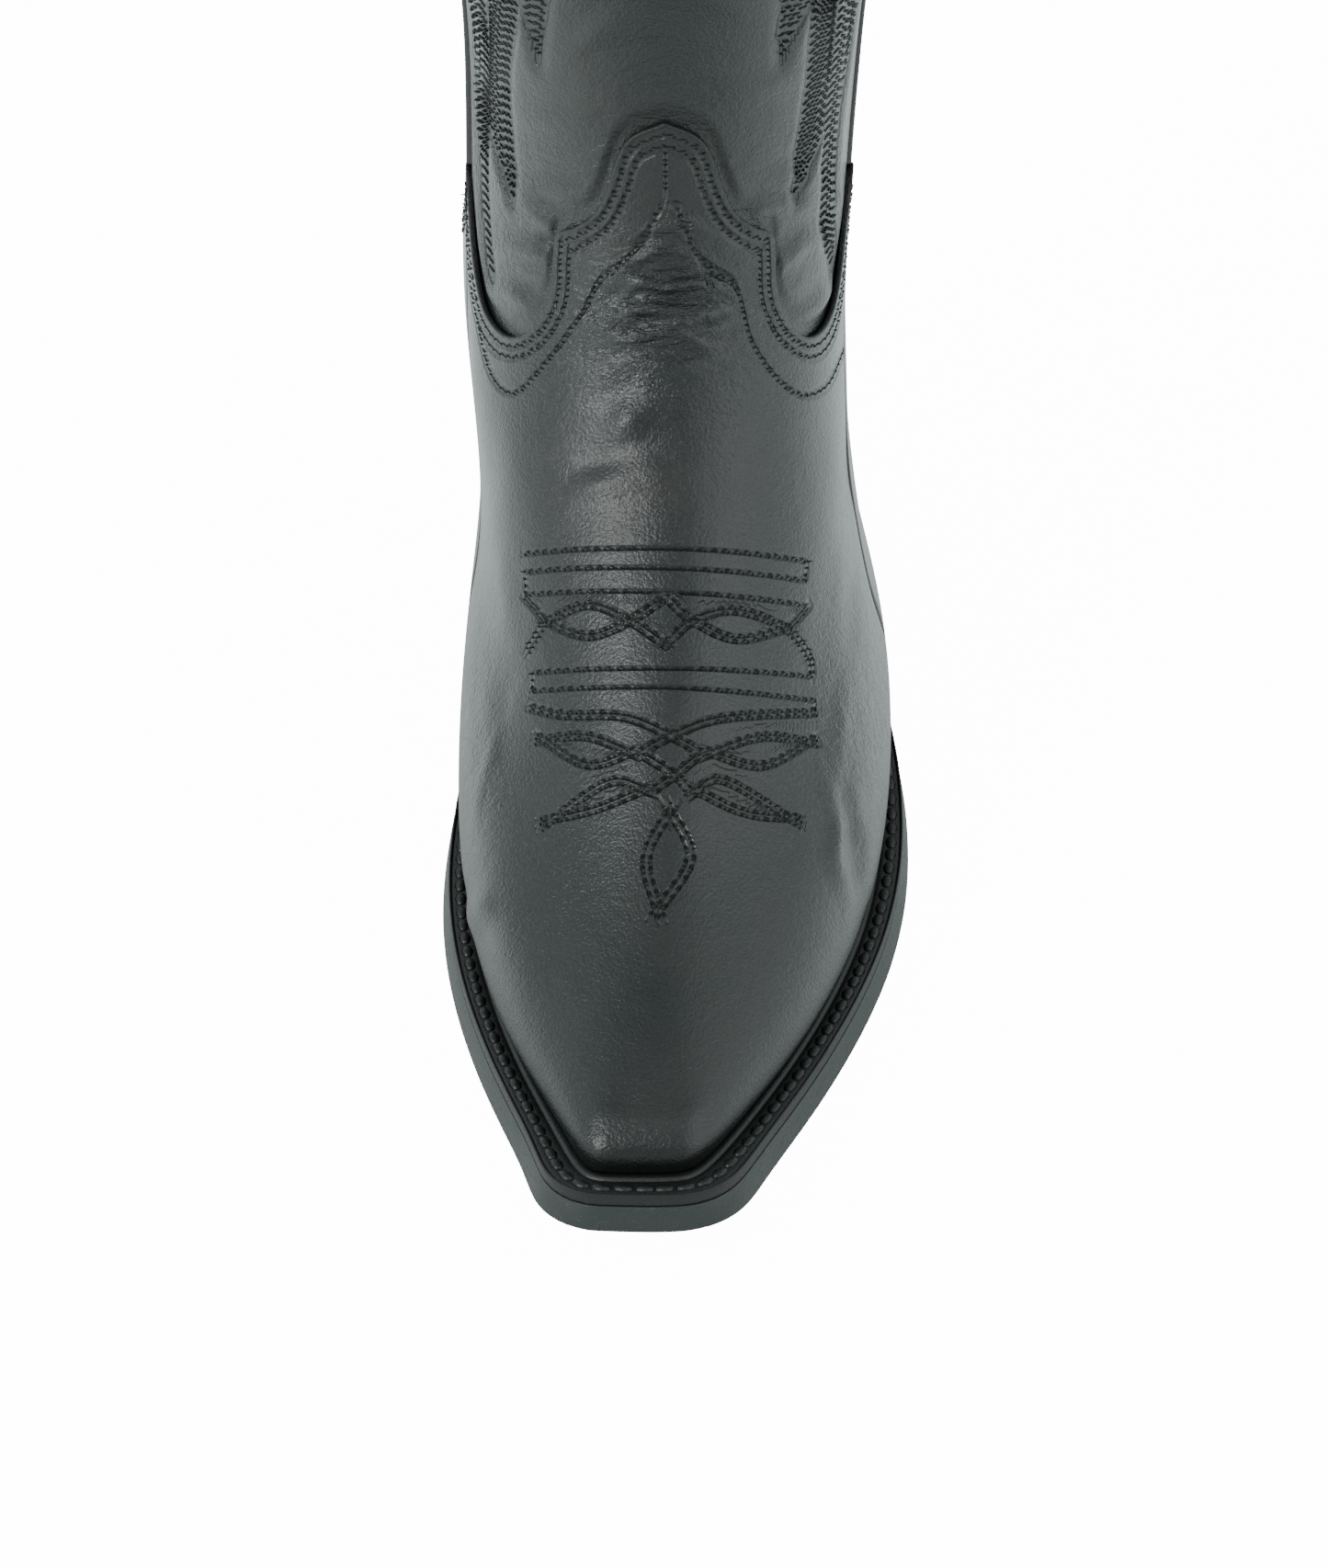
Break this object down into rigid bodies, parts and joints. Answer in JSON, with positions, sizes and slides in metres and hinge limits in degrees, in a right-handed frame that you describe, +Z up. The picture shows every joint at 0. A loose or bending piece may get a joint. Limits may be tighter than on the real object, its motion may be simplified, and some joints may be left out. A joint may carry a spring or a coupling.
{
  "type": "cowboy boot",
  "caption": "Left cowboy boot with a snip toe, stitched welt, scalloped vamp, pull straps and an underslung stacked heel.",
  "frame": {"origin": "on the floor, under the middle of the boot's bounding box", "axes": "+Z up, the toe points to -Y and the heel to +Y, +X is the outer side of the left foot"},
  "size_m": [0.1296, 0.3078, 0.3758],
  "materials": {
    "vamp_leather": "satin",
    "shaft_leather": "satin",
    "trim_leather": "satin",
    "lining_leather": "matte",
    "board": "matte",
    "welt_leather": "satin",
    "sole_leather": "satin",
    "stacked_leather": "satin",
    "cork": "matte",
    "top_lift_rubber": "matte",
    "shank_steel": "satin",
    "nail_brass": "satin"
  },
  "bodies": {
    "boot": {"vamp": "vamp_leather", "counter_cover": "vamp_leather", "shaft_front": "shaft_leather", "shaft_back": "shaft_leather", "side_piping_lateral": "trim_leather", "side_piping_medial": "trim_leather", "vamp_lining": "lining_leather", "heel_lining": "lining_leather", "shaft_lining_front": "lining_leather", "shaft_lining_back": "lining_leather", "toe_box": "board", "heel_counter": "board", "top_binding_front": "trim_leather", "top_binding_back": "trim_leather", "pull_strap_outer_lateral": "trim_leather", "pull_strap_inner_lateral": "trim_leather", "pull_strap_outer_medial": "trim_leather", "pull_strap_inner_medial": "trim_leather", "welt": "welt_leather", "heel_rand": "welt_leather", "cork_filler": "cork", "shank": "shank_steel", "insole": "board", "sock_lining": "lining_leather", "outsole": "sole_leather", "heel_cap": "top_lift_rubber", "heel_lift_1": "stacked_leather", "heel_lift_2": "stacked_leather", "heel_lift_3": "stacked_leather", "heel_lift_4": "stacked_leather", "heel_wedge": "stacked_leather", "cap_nail_1": "nail_brass", "cap_nail_2": "nail_brass", "cap_nail_3": "nail_brass", "cap_nail_4": "nail_brass", "cap_nail_5": "nail_brass", "heel_nail_1": "nail_brass", "heel_nail_2": "nail_brass", "heel_nail_3": "nail_brass"},
    "pull_loop_lateral": {"pull_strap_loop_lateral": "trim_leather"},
    "pull_loop_medial": {"pull_strap_loop_medial": "trim_leather"}
  },
  "joints": [
    {"name": "pull_loop_lateral_tilt", "type": "hinge", "parent": "boot", "child": "pull_loop_lateral", "pos_m": [0.0596, 0.08, 0.3465], "axis": [0, 1, 0], "range_deg": [-20, 20]},
    {"name": "pull_loop_medial_tilt", "type": "hinge", "parent": "boot", "child": "pull_loop_medial", "pos_m": [-0.0596, 0.08, 0.3465], "axis": [0, 1, 0], "range_deg": [-20, 20]}
  ]
}
